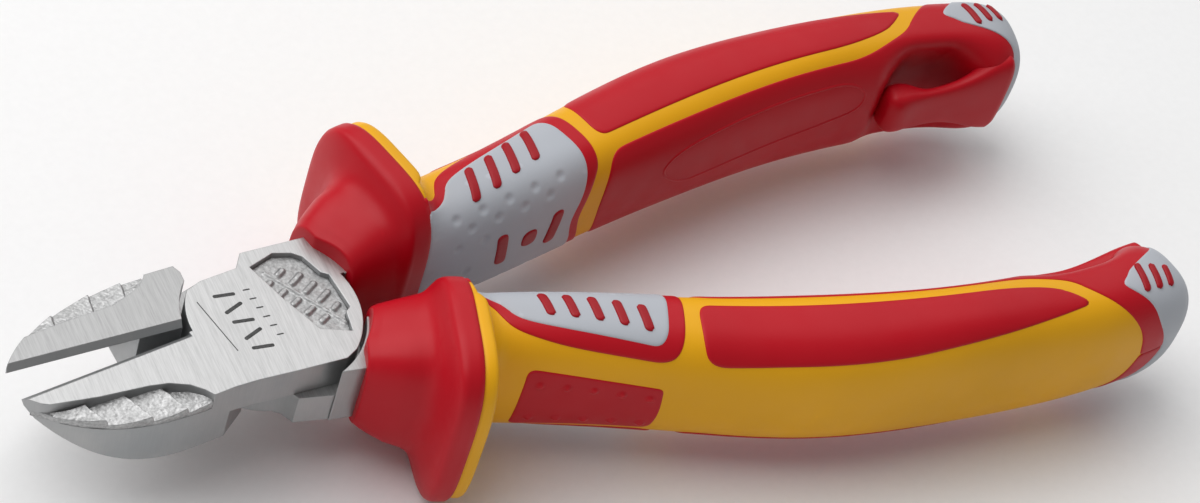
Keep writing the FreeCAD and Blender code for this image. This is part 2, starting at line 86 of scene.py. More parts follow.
# the guard, in a frame tilted like the flange: along, across, up
GUARD_STATION = 22.7    # of the flange's rear face on the handle's centreline
GUARD_TILT = math.radians(15.4)
GUARD_FRONT = 12.95     # radius about the pivot of the block's hollow front face
GUARD_OUTER_FRONT = -12.8   # the front face is square to the guard past here
FLANGE = (5.0, 11.1, 14.0, 3.5)     # offset, half width, half height, section power
RIM_THICKNESS = 1.9     # of the yellow rim behind the flange
FILLET_LENGTH = 4.6     # of the hollow curve between flange and handle
FILLET_RISE = 4.2       # most that it climbs
FILLET_POWER = 2.4      # how hollow it is
FILLET_SHARE = 0.95     # part of the flange that it may fill
RIM_FADE = (35.0, 118.0)    # it starts behind the rim up to the first angle, at the flange past the second
RIM_TIP = (97.0, 109.0)     # the yellow rim is whole up to the first angle of the flange, gone at the second

# the lanyard loop's pocket in the handle's inner side
POCKET = (101.0, 109.0, 114.0, 123.0)   # stations: starts, full, still full, ends
POCKET_DEPTH = 0.80     # part of the inner half width that is taken away
POCKET_POWER = 0.75     # how steep its upper and lower sides are

SINK = 0.35             # depth to which a raised zone's border reaches under the yellow surface
BORDER_RINGS = (0.08, 0.25, 0.55, 1.0)  # parts of a raised zone's rounded border that get a ring of points


# ---------------------------------------------------------------- curves

def cubic(xs, ys):
    """Natural cubic curve through the points, as a function of x."""
    xs, ys = np.array(xs, float), np.array(ys, float)
    count = len(xs)
    step = np.diff(xs)
    matrix, right = np.eye(count), np.zeros(count)
    for i in range(1, count - 1):
        matrix[i, i - 1:i + 2] = step[i - 1], 2 * (step[i - 1] + step[i]), step[i]
        right[i] = 6 * ((ys[i + 1] - ys[i]) / step[i] - (ys[i] - ys[i - 1]) / step[i - 1])
    bend = np.linalg.solve(matrix, right)

    def value(x):
        x = np.clip(x, xs[0], xs[-1])
        i = np.clip(np.searchsorted(xs, x) - 1, 0, count - 2)
        done, rest = x - xs[i], xs[i + 1] - x
        curved = (bend[i] * rest ** 3 + bend[i + 1] * done ** 3) / (6 * step[i])
        before = (ys[i] / step[i] - bend[i] * step[i] / 6) * rest
        after = (ys[i + 1] / step[i] - bend[i + 1] * step[i] / 6) * done
        return curved + before + after
    return value


def smoothstep(low, high, value):
    part = np.clip((value - low) / (high - low), 0.0, 1.0)
    return part * part * (3 - 2 * part)


def signed_power(value, power):
    return np.sign(value) * np.abs(value) ** power


def superellipse(turn, power):
    """Across and up on a superellipse of unit size, for a turn in radians."""
    return signed_power(np.cos(turn), 2 / power), signed_power(np.sin(turn), 2 / power)


def even_loop(points, spacing):
    """Closed polyline resampled at even distances."""
    closed = np.vstack([points, points[:1]])
    reach = np.concatenate([[0], np.cumsum(np.hypot(*np.diff(closed, axis=0).T))])
    count = max(12, int(round(reach[-1] / spacing)))
    at = np.linspace(0, reach[-1], count, endpoint=False)
    loop = np.stack([np.interp(at, reach, closed[:, k]) for k in (0, 1)], 1)
    return loop.astype(np.float32).astype(float)    # as exact as the triangulation gives it back


def rounded_loop(corners, spacing):
    """Closed curve along corners (x, y) or (x, y, radius); without a radius it is as smooth as it can be."""
    path = []
    flat = [np.array(corner[:2], float) for corner in corners]
    for i, corner in enumerate(corners):
        here, before, after = flat[i], flat[i - 1], flat[(i + 1) % len(flat)]
        limit = corner[2] if len(corner) > 2 else math.inf
        start = here + (before - here) * min(0.5, limit / max(np.linalg.norm(before - here), 1e-6))
        stop = here + (after - here) * min(0.5, limit / max(np.linalg.norm(after - here), 1e-6))
        for part in np.linspace(0, 1, 9):
            path.append((1 - part) ** 2 * start + 2 * part * (1 - part) * here + part ** 2 * stop)
    path = np.array(path)
    area = np.sum(path[:, 0] * np.roll(path[:, 1], -1) - np.roll(path[:, 0], -1) * path[:, 1])
    return even_loop(path if area > 0 else path[::-1], spacing)


def inset_loop(loop, distance):
    """A counter-clockwise loop moved inward."""
    along = np.roll(loop, -1, 0) - np.roll(loop, 1, 0)
    along /= np.linalg.norm(along, axis=1)[:, None]
    return loop + distance * np.stack([-along[:, 1], along[:, 0]], 1)


def inside(points, loop):
    """Which of the points lie inside the closed loop."""
    result = np.zeros(len(points), bool)
    x, y = points[:, 0], points[:, 1]
    for (x0, y0), (x1, y1) in zip(loop, np.roll(loop, -1, 0)):
        crosses = (y0 > y) != (y1 > y)
        at = x0 + (y - y0) * (x1 - x0) / (y1 - y0 if y1 != y0 else 1e-9)
        result ^= crosses & (x < at)
    return result


def depth_in(points, loop):
    """Distance of each point from the closed loop."""
    start, step = loop, np.roll(loop, -1, 0) - loop
    length = np.maximum((step ** 2).sum(1), 1e-12)
    depth = []
    for point in points:
        part = np.clip(((point - start) * step).sum(1) / length, 0, 1)
        depth.append(np.hypot(*(point - start - part[:, None] * step).T).min())
    return np.array(depth)


def filled(loop, spacing, rings=()):
    """Triangles that fill a closed loop, denser along the rings inside its border: (points, faces)."""
    row_spacing = 0.87 * spacing    # gives nearly equal-sided triangles
    low, high = loop.min(0), loop.max(0)
    xs = np.arange(low[0], high[0] + spacing, spacing)
    ys = np.arange(low[1], high[1] + spacing, row_spacing)
    grid_x, grid_y = np.meshgrid(xs, ys)
    grid_x[1::2] += spacing / 2

    # each cloud of points comes with the least distance that it keeps from the loop
    clouds = [(np.stack([grid_x.ravel(), grid_y.ravel()], 1), max((0,) + tuple(rings)) + 0.55 * spacing)]
    clouds += [(inset_loop(loop, ring), 0.97 * ring) for ring in rings]
    kept = [loop]
    for cloud, least in clouds:
        cloud = cloud[inside(cloud, loop)]
        if len(cloud):
            kept.append(cloud[depth_in(cloud, loop) > least])
    border = [(i, (i + 1) % len(loop)) for i in range(len(loop))]
    cloud = [Vector(point) for point in np.vstack(kept)]
    flat, _, faces, *_ = delaunay_2d_cdt(cloud, border, [], 1, 1e-5, False)
    flat = np.array([tuple(point) for point in flat])
    within = inside(np.array([flat[list(face)].mean(0) for face in faces]), loop)
    return flat, [list(face) for face, is_in in zip(faces, within) if is_in]


# ---------------------------------------------------------------- handle surface

centre_at = cubic(STATIONS[:, 0], STATIONS[:, 1])
width_at = cubic(STATIONS[:, 0], STATIONS[:, 2])
height_at = cubic(STATIONS[:, 0], STATIONS[:, 3])


def from_outward(angle):
    """Degrees away from the handle's outward side, either way round."""
    return np.abs((np.asarray(angle, float) + 180) % 360 - 180)


def fillet_limits():
    """How far the handle may rise behind the flange, for each degree, without leaving the flange."""
    degrees = np.arange(0.0, 361.0)
    unit_across, unit_up = superellipse(np.radians(degrees), SECTION_POWER)
    limit = np.zeros(len(degrees))
    for lift in np.linspace(0, FILLET_RISE, 43):
        across = (width_at(GUARD_STATION) + lift) * unit_across
        up = (height_at(GUARD_STATION) + lift) * unit_up
        share = np.abs((across - FLANGE[0]) / FLANGE[1]) ** FLANGE[3] + np.abs(up / FLANGE[2]) ** FLANGE[3]
        limit = np.where(share < FILLET_SHARE, lift, limit)
    return limit * (0.3 + 0.7 * smoothstep(15, 65, from_outward(degrees)))     # low on the outward side


FILLET_LIMIT = fillet_limits()


def root_fillet(station, angle):
    """Rise of the handle's surface where it runs up the rear face of the flange."""
    rim = RIM_THICKNESS * (1 - smoothstep(*RIM_FADE, from_outward(angle)))
    past = (station - GUARD_STATION) / math.cos(GUARD_TILT) - rim
    rest = 1 - np.clip(past / FILLET_LENGTH, 0, 1)
    return np.interp(angle % 360, np.arange(0.0, 361.0), FILLET_LIMIT) * rest ** FILLET_POWER


def on_handle(station, angle, lift=0.0):
    """Points of the +Y handle: angle 0 is outward, 90 the +Z face, 180 inward; lift is outward."""
    station, angle, lift = np.broadcast_arrays(*(np.asarray(v, float) for v in (station, angle, lift)))
    lift = lift + root_fillet(station, angle)
    unit_across, unit_up = superellipse(np.radians(angle), SECTION_POWER)
    start = HANDLE_END - ROUND_LENGTH
    part_way = np.clip((station - start) / (ROUND_LENGTH + lift), 0, 1)
    shrink = (1 - part_way ** ROUND_POWER) ** (1 / ROUND_POWER)
    across = (width_at(station) + lift) * shrink * unit_across
    up = (height_at(station) + lift) * shrink * unit_up

    in_length = smoothstep(POCKET[0], POCKET[1], station) * (1 - smoothstep(POCKET[2], POCKET[3], station))
    in_height = np.clip(1 - (up / height_at(station)) ** 2, 0, 1) ** POCKET_POWER
    across = np.where(across < 0, across * (1 - POCKET_DEPTH * in_length * in_height), across)

    slope = np.arctan(centre_at(station + 0.5) - centre_at(station - 0.5))
    return np.stack([
        station - across * np.sin(slope),
        centre_at(station) + across * np.cos(slope),
        MID + up,
    ], -1)


def girth_table():
    """Distance round a middling section of the handle for each whole degree."""
    degrees = np.arange(-360.0, 721.0)
    half_width, half_height = 7.0, 9.7
    unit_across, unit_up = superellipse(np.radians(degrees), SECTION_POWER)
    points = np.stack([half_width * unit_across, half_height * unit_up], 1)
    reach = np.concatenate([[0], np.cumsum(np.hypot(*np.diff(points, axis=0).T))])
    return degrees, reach - reach[360]     # 0 at angle 0


DEGREES, GIRTH = girth_table()


def girth_of(angle):
    return np.interp(angle, DEGREES, GIRTH)


def angle_of(girth):
    return np.interp(girth, GIRTH, DEGREES)


def even_angles(count):
    """Angles round the handle at even distances along its girth."""
    return angle_of(np.linspace(0, girth_of(360), count, endpoint=False))


# ---------------------------------------------------------------- mesh pieces

class Shape:
    """Vertices and faces.  Surfaces that are added share their common points; merged shapes do not."""

    def __init__(self):
        self.points = []
        self.faces = []
        self.known = {}

    def add(self, points, faces):
        places = []
        for point in points:
            point = tuple(float(v) for v in point)
            key = tuple(round(v, 5) for v in point)
            if key not in self.known:
                self.known[key] = len(self.points)
                self.points.append(point)
            places.append(self.known[key])
        for face in faces:
            face = list(dict.fromkeys(places[i] for i in face))
            if len(face) > 2:
                self.faces.append(face)

    def add_rows(self, rows, closed=True, cap_first=False, cap_last=False):
        """A surface through rows of points, all of one length."""
        rows = np.array(rows, float)
        count, width = rows.shape[:2]
        faces = []
        for i in range(count - 1):
            for j in range(width if closed else width - 1):
                k = (j + 1) % width
                faces.append([i * width + j, i * width + k, (i + 1) * width + k, (i + 1) * width + j])
        if cap_first:
            faces.append(list(range(width))[::-1])
        if cap_last:
            faces.append([(count - 1) * width + j for j in range(width)])
        self.add(rows.reshape(-1, 3), faces)

    def add_tip(self, row, tip):
        """Close a surface's last row on one point."""
        count = len(row)
        self.add(np.vstack([row, tip[None]]), [[j, (j + 1) % count, count] for j in range(count)])

    def merged(self, other):
        start = len(self.points)
        self.points = self.points + other.points
        self.faces = self.faces + [[start + i for i in face] for face in other.faces]
        return self


def zone(corners, lift, spacing=0.8, edge=0.5, relief=None):
    """Raised zone on the handle with a rounded border.  Corners are (station, angle[, radius])."""
    flat = [(corner[0], girth_of(corner[1])) + tuple(corner[2:]) for corner in corners]
    loop = rounded_loop(flat, min(0.45, 0.05 + 0.5 * spacing))
    points, faces = filled(loop, spacing, [share * edge for share in BORDER_RINGS])
    inward = np.clip(depth_in(points, loop) / edge, 0, 1)
    rise = lift * np.sqrt(1 - (1 - inward) ** 2)
    if relief is not None:
        rise = rise + relief(points[:, 0], points[:, 1]) * inward
    under = on_handle(points[:, 0], angle_of(points[:, 1]), -SINK + np.minimum(rise, 0))
    shape = Shape()
    shape.add(on_handle(points[:, 0], angle_of(points[:, 1]), rise), faces)
    shape.add(under, [face[::-1] for face in faces])
    shape.add_rows([on_handle(loop[:, 0], angle_of(loop[:, 1]), height) for height in (-SINK, 0.0)])
    return shape


def ridge(path, height, half_width, lift):
    """Raised line along a closed path of corners (station, angle[, radius]) on the handle."""
    loop = rounded_loop([(c[0], girth_of(c[1])) + tuple(c[2:]) for c in path], 0.4)
    rows = []
    for part in np.linspace(-1, 1, 7):
        offset = inset_loop(loop, part * half_width)
        rise = lift + height * math.cos(part * math.pi / 2) - 0.06 * abs(part)
        rows.append(on_handle(offset[:, 0], angle_of(offset[:, 1]), rise))
    rows.append(rows[0])
    shape = Shape()
    shape.add_rows(rows)
    return shape


def turned_over(points):
    """The same moulding on the -Y handle."""
    return [(x, -y, 2 * MID - z) for x, y, z in points]


def linked(name, data):
    """New object in the scene."""
    item = bpy.data.objects.new(name, data)
    bpy.context.scene.collection.objects.link(item)
    return item


def build_mesh(name, shape):
    """Blender object from a shape, with normals outward."""
    mesh = bpy.data.meshes.new(name)
    mesh.from_pydata([(x * MM, y * MM, z * MM) for x, y, z in shape.points], [], shape.faces)
    edit = bmesh.new()
    edit.from_mesh(mesh)
    bmesh.ops.recalc_face_normals(edit, faces=edit.faces)
    edit.to_mesh(mesh)
    edit.free()
    mesh.polygons.foreach_set("use_smooth", [True] * len(mesh.polygons))
    return linked(name, mesh)


def place(piece, body, slot, material, *nodes):
    """Give a piece its material and tie it to the frame."""
    piece.data.materials.clear()
    piece.data.materials.append(material)
    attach(piece, body)
    if nodes:
        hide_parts(*nodes)
    return piece


def moulding(label, shape, slot, material):
    """One zone of the moulding on both handles; it stands for the CAD node of the same label."""
    for prefix in ("front", "rear"):
        twin = Shape()
        twin.points = shape.points if prefix == "front" else turned_over(shape.points)
        twin.faces = shape.faces
        piece = build_mesh(prefix + "_" + label + "_skin", twin)
        place(piece, prefix + "_half", slot, material, prefix + "_" + label)


# ---------------------------------------------------------------- materials

class Nodes:
    """Short way to write a material's node tree."""

    def __init__(self, name):
        self.material = bpy.data.materials.new(name)
        self.material.use_nodes = True
        self.tree = self.material.node_tree
        self.shader = self.tree.nodes["Principled BSDF"]
        self.coordinates = self.new("ShaderNodeTexCoord").outputs["Object"]

    def new(self, kind, **settings):
        node = self.tree.nodes.new(kind)
        for key, value in settings.items():
            setattr(node, key, value)
        return node

    def join(self, output, socket):
        self.tree.links.new(output, socket)

    def mapped(self, scale, rotation=(0, 0, 0)):
        node = self.new("ShaderNodeMapping")
        node.inputs["Scale"].default_value = scale
        node.inputs["Rotation"].default_value = rotation
        self.join(self.coordinates, node.inputs["Vector"])
        return node.outputs["Vector"]

    def noise(self, vector, scale, detail=2.0, roughness=0.5):
        node = self.new("ShaderNodeTexNoise")
        node.inputs["Scale"].default_value = scale
        node.inputs["Detail"].default_value = detail
        node.inputs["Roughness"].default_value = roughness
        self.join(vector, node.inputs["Vector"])
        return node.outputs["Fac"]

    def ramp(self, value, low, high, start, stop):
        """Map a value's range low..high onto start..stop."""
        node = self.new("ShaderNodeMapRange")
        for socket, number in zip(node.inputs[1:5], (low, high, start, stop)):
            socket.default_value = number
        self.join(value, node.inputs[0])
        return node.outputs["Result"]

    def blend(self, factor, first, second):
        """Mix two colours, each a tuple or an output."""
        node = self.new("ShaderNodeMix", data_type="RGBA")
        self.join(factor, node.inputs[0])
        for socket, colour in ((node.inputs[6], first), (node.inputs[7], second)):
            if isinstance(colour, tuple):
                socket.default_value = colour + (1.0,)
            else:
                self.join(colour, socket)
        return node.outputs[2]

    def bump(self, height, strength, distance, under=None):
        node = self.new("ShaderNodeBump")
        node.inputs["Strength"].default_value = strength
        node.inputs["Distance"].default_value = distance * MM
        self.join(height, node.inputs["Height"])
        if under is not None:
            self.join(under, node.inputs["Normal"])
        return node.outputs["Normal"]


def shade(colour, factor):
    return tuple(min(1.0, channel * factor) for channel in colour)


def plastic(name, colour, rough, grain):
    """Moulded plastic: fine spark-eroded grain, faint flow marks, a painted highlight on the convex edges
    and a few scuffs.
    """
    n = Nodes(name)
    fine = n.noise(n.coordinates, 5200, 2.0, 0.6)
    coarse = n.noise(n.coordinates, 260, 3.0)
    clouds = n.noise(n.coordinates, 38, 3.0)
    scuffs = n.noise(n.mapped((900, 120, 400), (0.3, 0.2, 0.7)), 1.0, 4.0, 0.7)
    base = n.blend(n.ramp(clouds, 0.35, 0.7, 0, 1), shade(colour, 0.93), shade(colour, 1.05))
    worn = n.blend(n.ramp(scuffs, 0.66, 0.80, 0, 0.30), base, shade(colour, 1.25))
    # convex edges, found by pointiness, are painted lighter: a painted highlight on the edges
    edges = n.new("ShaderNodeNewGeometry").outputs["Pointiness"]
    painted_edge_highlight = n.blend(n.ramp(edges, 0.52, 0.62, 0, 0.35), worn, shade(colour, 1.35))
    n.join(painted_edge_highlight, n.shader.inputs["Base Color"])
    n.join(n.ramp(coarse, 0.3, 0.7, rough - 0.05, rough + 0.06), n.shader.inputs["Roughness"])
    normal = n.bump(coarse, 0.10, 0.03)
    n.join(n.bump(fine, grain, 0.016, normal), n.shader.inputs["Normal"])
    n.shader.inputs["IOR"].default_value = 1.5
    n.shader.inputs["Specular IOR Level"].default_value = 0.24
    return n.material


def steel(name, turn, bright, dull=0.38):
    """Forged steel: dull sides, and bright flat faces ground square to the edge, which lies at `turn`."""
    n = Nodes(name)
    facing = n.new("ShaderNodeSeparateXYZ")
    n.join(n.new("ShaderNodeNewGeometry").outputs["True Normal"], facing.inputs[0])
    flat = n.new("ShaderNodeMath", operation="ABSOLUTE")
    n.join(facing.outputs["Z"], flat.inputs[0])
    ground = n.ramp(flat.outputs[0], 0.75, 0.95, 0, 1)
    turn = math.radians(-turn)
    lines = n.noise(n.mapped((6200, 260, 260), (0, 0, turn)), 1.0, 5.0, 0.65)
    wide = n.noise(n.mapped((1500, 90, 90), (0, 0, turn)), 1.0, 3.0, 0.6)
    grit = n.noise(n.coordinates, 4200, 3.0, 0.7)
    patina = n.noise(n.coordinates, 70, 4.0, 0.6)
    tone = n.blend(n.ramp(lines, 0.35, 0.65, 0, 1), (bright * 0.80,) * 3, (bright * 1.08,) * 3)
    tone = n.blend(n.ramp(wide, 0.40, 0.75, 0, 0.45), tone, (bright * 1.15,) * 3)
    bluish = (dull * 0.92, dull * 0.95, dull * 0.97)
    side = n.blend(n.ramp(patina, 0.35, 0.65, 0, 1), bluish, (dull * 1.1,) * 3)
    n.join(n.blend(ground, side, tone), n.shader.inputs["Base Color"])
    n.shader.inputs["Metallic"].default_value = 0.9
    n.join(n.ramp(lines, 0.3, 0.7, 0.36, 0.52), n.shader.inputs["Roughness"])
    edges = n.new("ShaderNodeBevel", samples=4)
    edges.inputs["Radius"].default_value = 0.14 * MM
    normal = n.bump(grit, 0.12, 0.01, edges.outputs["Normal"])
    n.join(n.bump(lines, 0.25, 0.008, normal), n.shader.inputs["Normal"])
    return n.material


def rough_steel(name, tone):
    """Steel as forged: pitted and uneven."""
    n = Nodes(name)
    pits = n.noise(n.coordinates, 2600, 4.0, 0.7)
    lumps = n.noise(n.coordinates, 800, 3.0, 0.6)
    n.join(n.blend(n.ramp(pits, 0.35, 0.65, 0, 1), (tone * 0.75,) * 3, (tone * 1.25,) * 3),
           n.shader.inputs["Base Color"])
    n.shader.inputs["Metallic"].default_value = 0.85
    n.join(n.ramp(lumps, 0.3, 0.7, 0.42, 0.58), n.shader.inputs["Roughness"])
    normal = n.bump(lumps, 0.30, 0.08)
    n.join(n.bump(pits, 0.40, 0.04, normal), n.shader.inputs["Normal"])
    return n.material


RED = plastic("red_soft_plastic", (0.47, 0.0022, 0.011), 0.42, 0.12)
DEEP_RED = plastic("red_marks", (0.33, 0.003, 0.010), 0.40, 0.10)
GREY = plastic("grey_soft_plastic", (0.44, 0.46, 0.50), 0.50, 0.12)
YELLOW = plastic("yellow_hard_plastic", (0.80, 0.39, 0.005), 0.44, 0.08)
# the two halves are one ground steel; the rear half's copy gets a darker tone, 0.42 against 0.53, which is
# painted shade
FRONT_STEEL = steel("ground_steel_front", FRONT_TURN, 0.53)
SHADED_REAR_STEEL = steel("ground_steel_rear", REAR_TURN, 0.42)
FORGED = rough_steel("forged_hollow", 0.42)
CAST = rough_steel("badge_floor", 0.40)
ETCHED = rough_steel("etched_strokes", 0.07)


# ---------------------------------------------------------------- the grips

def sleeve():
    """Yellow body of the handle, from inside the guard to the rounded end."""
    start, fillet_end, stop = 22.0, 28.0, HANDLE_END - ROUND_LENGTH
    stations = list(np.arange(start, fillet_end, 0.25)) + list(np.arange(fillet_end, stop, 0.8))
    for turn in np.linspace(0, 90, 22):
        stations.append(stop + ROUND_LENGTH * math.sin(math.radians(turn)))
    angles = even_angles(150)
    covered = smoothstep(128, 140, angles) * (1 - smoothstep(220, 232, angles))
    rows = []
    for station in stations[:-1]:
        sunk = covered * smoothstep(55.0, 59.0, station)    # 1 mm lower where the inner cover hides it
        rows.append(on_handle(station, angles, -sunk))
    shape = Shape()
    shape.add_rows(rows, cap_first=True)
    shape.add_tip(rows[-1], on_handle(HANDLE_END, 0.0))
    return shape


def reflected(corners):
    """Corners of an outline reflected in the handle's mid plane."""
    return [(corner[0], 360 - corner[1]) + tuple(corner[2:]) for corner in corners]


def mirrored(corners):
    """Corners of an outline followed by their reflection, so that they close on themselves."""
    return list(corners) + reflected(corners)[::-1]


# outlines of the coloured zones: corners (station, angle) or (station, angle, radius)
SURROUND = mirrored([
    (22.0, 180), (22.0, 140), (22.0, 99, 0.6), (24.8, 97), (26.4, 92), (27.3, 84.5), (28.4, 74),
    (30.6, 64.5), (35.0, 52.5), (40.4, 45), (48.4, 38.5, 2.0), (50.2, 52), (50.8, 90), (51.0, 129),
    (49.6, 150), (48.2, 176),
])
SADDLE_EDGE = [
    (22.2, 109), (25.0, 106), (26.8, 99.5), (27.7, 93), (28.8, 86.5), (30.8, 80), (35.0, 72.5), (40.2, 65),
]
SADDLE = mirrored([(22.2, 180), (22.2, 140)] + SADDLE_EDGE + [
    (47.3, 56, 1.2), (48.4, 70), (48.7, 90), (49.1, 123), (48.0, 156), (46.8, 176),
])
GRIP = [
    (52.7, 72), (53.6, 38.5, 2.6), (59.0, 41.5), (65.0, 44.5), (78.5, 45), (84.0, 47.5), (93.0, 54),
    (101.0, 63), (108.6, 72.5, 1.6), (105.6, 90), (102.6, 96), (97.0, 103), (90.0, 104.5),
    (56.0, 104.5), (52.8, 104, 2.2),
]
INNER = [(51.4, 180)] + mirrored([
    (51.8, 160), (53.4, 125, 2.0), (58.0, 123.5), (94.0, 123.5), (98.5, 121), (101.5, 114), (105.0, 104),
    (107.5, 95), (109.5, 85), (112.5, 63), (114.8, 40), (116.4, 20), (117.5, 0, 0.3), (125.6, 0, 0.2),
])
BACK_PAD = [
    (30.4, 10), (30.6, -26.0, 1.4), (40.0, -16.5), (48.8, -11.5, 0.8), (49.3, 8), (48.8, 32, 1.4),
    (40.0, 36), (30.4, 40, 1.4),
]
LABEL = [
    (61.5, 174), (64.0, 158), (72.0, 151), (84.0, 148), (96.0, 147, 2.5), (99.5, 160, 3.0),
    (99.0, 176, 2.5), (92.0, 181), (78.0, 185), (67.0, 187, 2.5),
]

# border of the grey end cap: angle, station
CAP_START = [
    (0, 121.3), (9, 120.6), (27, 119.1), (54, 117.5), (72, 115.7), (80, 114.8), (85, 114.8), (90, 116.4),
    (96, 119.3), (105, 122.6), (115, 124.2), (140, 124.8), (180, 124.8),
]


def domes(places, radius, height):
    """Relief made of round bumps at places (station, angle), or of dimples when the height is negative."""
    spots = [(station, girth_of(angle)) for station, angle in places]

    def relief(station, girth):
        total = 0.0 * station
        for at, round_at in spots:
            away = np.hypot(station - at, girth - round_at) / radius
            total = total + height * np.clip(1 - away ** 2, 0, None) ** 1.5
        return total
    return relief


def pad_bumps():
    """Two converging rows of bumps down the back pad."""
    return [(32.6 + 3.7 * i, angle) for i in range(5) for angle in (-9.0 + 1.6 * i, 21.0)]


def saddle_dimples():
    """Offset rows of dimples down the inner face, apart from where the marks stand."""
    first, pitch, last = 27.5, 4.2, 45.5
    places = []
    for row, angle in enumerate((126, 142, 160, 182, 204, 220, 236)):
        for i in range(5):
            station = first + pitch * i + (pitch / 2 if row % 2 else 0.0)
            under_marks = station > 33.0 and 155 < angle < 210
            if station < last and not under_marks:
                places.append((station, angle))
    return places


def under_saddle(station, girth):
    """The surround is sunk where the saddle covers it."""
    edge = girth_of(np.interp(station, *zip(*SADDLE_EDGE, (46.6, 57.5))))
    in_length = smoothstep(24.0, 25.2, station) * (1 - smoothstep(45.0, 46.2, station))
    in_girth = smoothstep(1.0, 2.4, girth - edge) * smoothstep(1.0, 2.4, girth_of(360) - edge - girth)
    return -0.8 * in_length * in_girth


def bar(station, angle, length, half_width, lean, lift):
    """Rounded raised bar across the handle; lean shifts its far end along the handle."""
    middle = girth_of(angle)
    low, high = angle_of(middle - length / 2), angle_of(middle + length / 2)
    corners = [
        (station - half_width, low, half_width), (station + half_width, low, half_width),
        (station + half_width + lean, high, half_width), (station - half_width + lean, high, half_width),
    ]
    return zone(corners, lift, 0.4, 0.25)


def marks_on_saddle():
    """Bars on the saddle's two broad faces and on its inner side."""
    shape = Shape()
    for i in range(4):
        shape.merged(bar(33.2 + 3.7 * i, 94 - 3.0 * i, 5.6, 0.75, -2.0, 0.50))
    for i in range(5):
        shape.merged(bar(32.8 + 3.1 * i, 263 + 2.2 * i, 4.4, 0.68, 0.8, 0.50))
    for station, lean in ((34.6, 0.7), (43.8, -0.7)):
        shape.merged(bar(station, 178, 6.0, 0.95, lean, 0.46))
    shape.merged(bar(39.4, 178, 3.0, 1.25, 0.0, 0.46))
    return shape


def marks_on_cap():
    """Three bars on each broad face of the end cap."""
    shape = Shape()
    for i in range(3):
        station, length = 118.6 + 2.1 * i, 4.4 - 0.5 * i
        shape.merged(bar(station, 84 - 3 * i, length, 0.6, 1.1, 0.58))
        shape.merged(bar(station, 276 + 3 * i, length, 0.6, -1.1, 0.58))
    return shape


def cap_skin():
    """Grey end cap: rows run from its curved border to the handle's end."""
    angles = even_angles(160)
    half = np.where(angles > 180, 360 - angles, angles)
    border = cubic(*zip(*CAP_START))(half)
    lift, edge = 0.30, 0.5
    rows = [on_handle(border, angles, -SINK)]
    for turn in (0.0, 22.5, 45.0, 67.5, 90.0):
        inward = edge * (1 - math.cos(math.radians(turn)))
        rows.append(on_handle(border + inward, angles, lift * math.sin(math.radians(turn))))
    reach = HANDLE_END + lift
    for part in np.linspace(0.06, 1.0, 36)[:-1]:    # the last row is the tip
        station = border + edge + (reach - border - edge) * math.sin(part * math.pi / 2)
        rows.append(on_handle(station, angles, lift))
    shape = Shape()
    shape.add_rows(rows, cap_first=True)
    shape.add_tip(rows[-1], on_handle(reach, 0.0, lift))
    return shape


def loop_arm():
    """Arm of the lanyard loop: a strap from a rounded block that widens back into the cap."""
    start, stop = 103.6, 123.2
    nose, tail = 1.2, 1.1       # lengths of the rounded ends
    inward = cubic(
        (103.6, 105.0, 107.5, 110.0, 115.0, 120.0, 125.4),
        (17.0, 16.4, 16.5, 16.8, 16.9, 16.7, 16.6))
    outward = cubic(
        (103.6, 107.6, 109.4, 111.5, 114.0, 117.5, 121.0, 125.4),
        (20.5, 20.6, 19.3, 19.0, 19.1, 19.6, 21.0, 22.5))
    half_height = cubic(
        (103.6, 106.0, 110.0, 114.0, 118.0, 121.0, 125.4),
        (3.5, 3.6, 3.3, 3.6, 5.0, 6.5, 7.6))
    angles = np.radians(np.linspace(0, 360, 48, endpoint=False))

    # each row: its station and how full its section is, 0 at the very end
    rows = []
    for turn in (5, 15, 28, 42, 56, 70, 80):
        rows.append((start + nose * (1 - math.cos(math.radians(turn))), math.sin(math.radians(turn))))
    rows += [(station, 1.0) for station in np.linspace(104.9, stop, 48)]
    for turn in (30, 55, 75, 85):
        rows.append((stop + tail * math.sin(math.radians(turn)), math.cos(math.radians(turn))))

    shape = Shape()
    sections = []
    for station, fullness in rows:
        shrink = 0.55 + 0.45 * fullness
        middle = (inward(station) + outward(station)) / 2
        half = (outward(station) - inward(station)) / 2
        across = half * shrink * signed_power(np.cos(angles), 0.6)
        up = half_height(station) * shrink * signed_power(np.sin(angles), 0.55)
        sections.append(np.stack([np.full(len(angles), station), middle + across, MID + up], 1))
    shape.add_rows(sections, cap_first=True, cap_last=True)
    return shape


# ---------------------------------------------------------------- the guard

def guard_point(along, across, up):
    """Points in the guard's tilted frame; along runs towards the handle's end."""
    base_y = float(centre_at(GUARD_STATION))
    along, across, up = np.broadcast_arrays(*(np.asarray(v, float) for v in (along, across, up)))
    return np.stack([
        GUARD_STATION + along * math.cos(GUARD_TILT) - across * math.sin(GUARD_TILT),
        base_y + along * math.sin(GUARD_TILT) + across * math.cos(GUARD_TILT),
        MID + up,
    ], -1)


